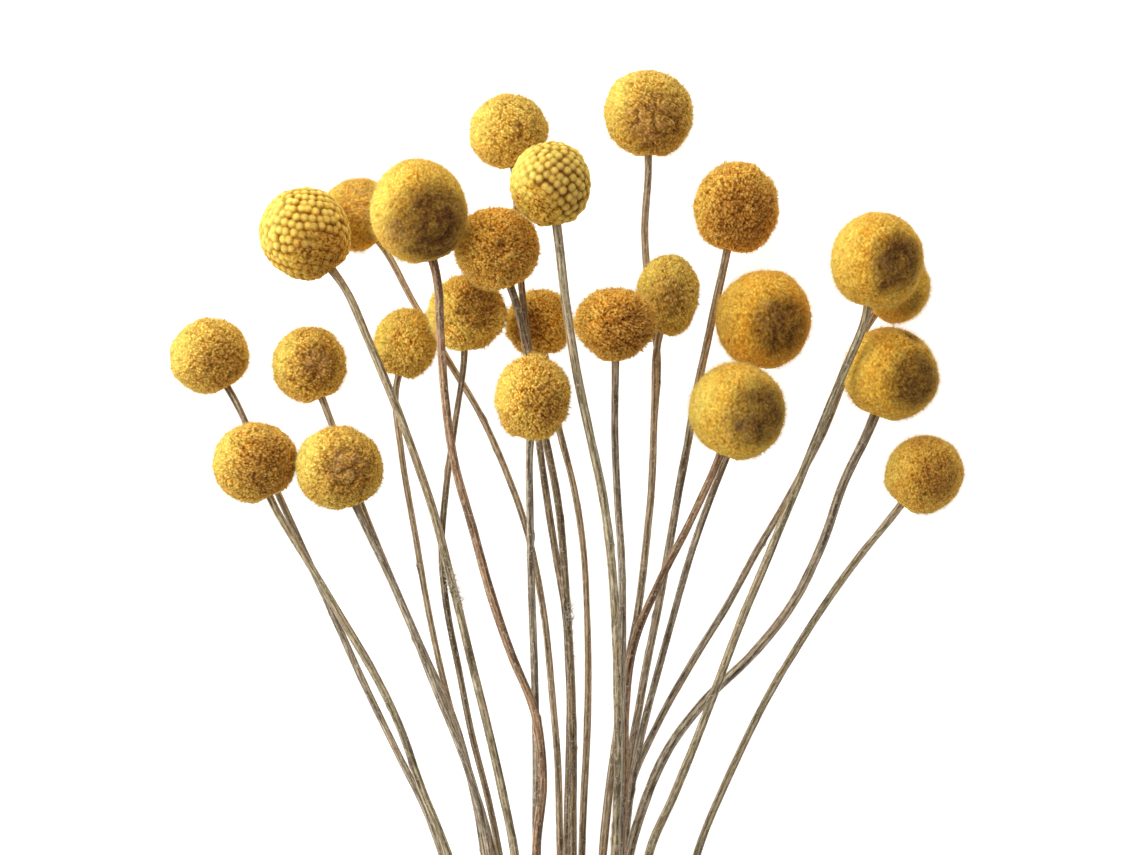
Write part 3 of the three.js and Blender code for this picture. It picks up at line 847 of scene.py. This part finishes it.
def build_stem(number, centres, cad_radius):
    stem = Stem(number, centres)
    stem.add_skin(cad_radius)
    stem.add_end(0, -1)
    stem.add_end(stem.ring_count - 1, 1)
    rng = stem.rng
    stem.add_hairs(rng.uniform(0.02, 0.98, HAIR_COUNT), rng.uniform(0, 2 * math.pi, HAIR_COUNT),
                   rng.uniform(0.5, 1.8, HAIR_COUNT) * MM, 0.05 * MM)
    if number in TUFTS:
        at = 1 - TUFTS[number] + rng.normal(scale=0.008, size=TUFT_HAIRS)
        stem.add_hairs(at, rng.normal(-0.5, 0.6, TUFT_HAIRS) % (2 * math.pi),
                       rng.uniform(1.0, 3.4, TUFT_HAIRS) * MM, 0.13 * MM)

    piece = stem.parts.build(f"dry_stem_{number:02d}", STEM_MATERIALS[STEMS[number]])
    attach(piece, "root")
    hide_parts(f"stem_{number:02d}")


for flower in range(1, FLOWER_COUNT + 1):
    ring_centres, stem_radius = stem_rings(f"stem_{flower:02d}")
    build_stem(flower, ring_centres, stem_radius)
    build_head(flower, ring_centres[-1], ring_centres[-2])

# ------------------------------------------------------------------ floor, light and camera

low, high = (np.array(corner) for corner in cad_box)
middle = (low + high) / 2
HEAD_LEVEL = low[2] + 0.45 * (high[2] - low[2])  # where the camera's frame is measured

# The floor glows, so that it looks white around the shadows.
floor_mesh = bpy.data.meshes.new("floor")
REACH = 3.0
FLOOR_GREYS = ((0.62, 0.62, 0.62, 1), (0.60, 0.60, 0.605, 1))
FLOOR_GLOW = 0.86
floor_corners = [(-REACH, -REACH, 0), (REACH, -REACH, 0), (REACH, REACH, 0), (-REACH, REACH, 0)]
floor_mesh.from_pydata(floor_corners, [], [(0, 1, 2, 3)])
floor = bpy.data.objects.new("floor", floor_mesh)
floor.location.z = low[2]
bpy.context.scene.collection.objects.link(floor)
floor_nodes = Nodes("white_floor")
floor_place = floor_nodes.new("ShaderNodeTexCoord").outputs["Object"]
floor_noise = floor_nodes.noise(floor_place, 3.0)
floor_colour = floor_nodes.mix(floor_nodes.scale(floor_noise, 0.3, 0.7, 0.0, 1.0), *FLOOR_GREYS)
floor_nodes.shader.inputs["Specular IOR Level"].default_value = 0.0
floor_nodes.shader.inputs["Emission Color"].default_value = (1.0, 1.0, 1.0, 1.0)
floor_nodes.shader.inputs["Emission Strength"].default_value = FLOOR_GLOW
floor_mesh.materials.append(floor_nodes.finish(floor_colour, 0.9, floor_noise, 0.0, 0.001))

# The studio is bright all round near the surface and dim overhead.
HORIZON_GLOW = 0.52
OVERHEAD_GLOW = 0.36
GLOW_HEIGHT = 0.60
world = bpy.data.worlds.new("studio")
world.use_nodes = True
sky = world.node_tree
background = sky.nodes["Background"]
sky_split = sky.nodes.new("ShaderNodeSeparateXYZ")
sky.links.new(sky.nodes.new("ShaderNodeTexCoord").outputs["Generated"], sky_split.inputs[0])
sky_fade = sky.nodes.new("ShaderNodeMapRange")
sky_fade.interpolation_type = "SMOOTHSTEP"
for socket, value in ((1, 0.0), (2, GLOW_HEIGHT), (3, HORIZON_GLOW), (4, OVERHEAD_GLOW)):
    sky_fade.inputs[socket].default_value = value
sky.links.new(sky_split.outputs["Z"], sky_fade.inputs[0])
sky.links.new(sky_fade.outputs[0], background.inputs["Strength"])
sky_warmth = sky.nodes.new("ShaderNodeMix")
sky_warmth.data_type = "RGBA"
sky_warmth.inputs[6].default_value = (1.0, 1.0, 1.0, 1.0)
sky_warmth.inputs[7].default_value = (1.0, 0.92, 0.80, 1.0)
sky.links.new(sky_split.outputs["Z"], sky_warmth.inputs[0])
sky.links.new(sky_warmth.outputs[2], background.inputs["Color"])
bpy.context.scene.world = world
bpy.context.scene.view_settings.view_transform = "Standard"

AIM_BELOW_TOP = 0.09
AIM_HEIGHT = 0.02


def soft_box(name, azimuth, elevation, distance, size, power):
    """A round lamp aimed at the heads. Azimuth 0 stands at the right, 90 beyond the heads."""
    aim = Vector((middle[0], high[1] - AIM_BELOW_TOP, low[2] + AIM_HEIGHT))
    turn, lift = math.radians(azimuth), math.radians(elevation)
    away = Vector((math.cos(turn) * math.cos(lift), math.sin(turn) * math.cos(lift), math.sin(lift)))
    light = bpy.data.lights.new(name, "AREA")
    light.shape = "DISK"
    light.size = size
    light.energy = power
    lamp = bpy.data.objects.new(name, light)
    lamp.location = aim + away * distance
    lamp.rotation_euler = away.to_track_quat("Z", "Y").to_euler()
    lamp.visible_camera = False
    bpy.context.scene.collection.objects.link(lamp)


soft_box("key_left", 158, 29, 1.4, 2.1, 28.5)
soft_box("fill_far", 95, 35, 1.4, 1.0, 5.0)

# The camera looks straight down at the heads. The stems' cut ends lie below its frame.
LENS_MM = 400.0
SENSOR_MM = 36.0
VIEW_WIDTH = 1.431 * (high[0] - low[0])
TOP_MARGIN = 0.0222
RIGHT_SHIFT = 0.0011
FRAME_ASPECT = 3 / 4
camera_data = bpy.data.cameras.new("camera")
camera_data.lens = LENS_MM
camera_data.sensor_width = SENSOR_MM
camera_data.clip_end = 50.0
camera = bpy.data.objects.new("camera", camera_data)
camera.location = (
    middle[0] + RIGHT_SHIFT,
    high[1] + TOP_MARGIN - VIEW_WIDTH * FRAME_ASPECT / 2,
    HEAD_LEVEL + VIEW_WIDTH * LENS_MM / SENSOR_MM,
)
bpy.context.scene.collection.objects.link(camera)
bpy.context.scene.camera = camera
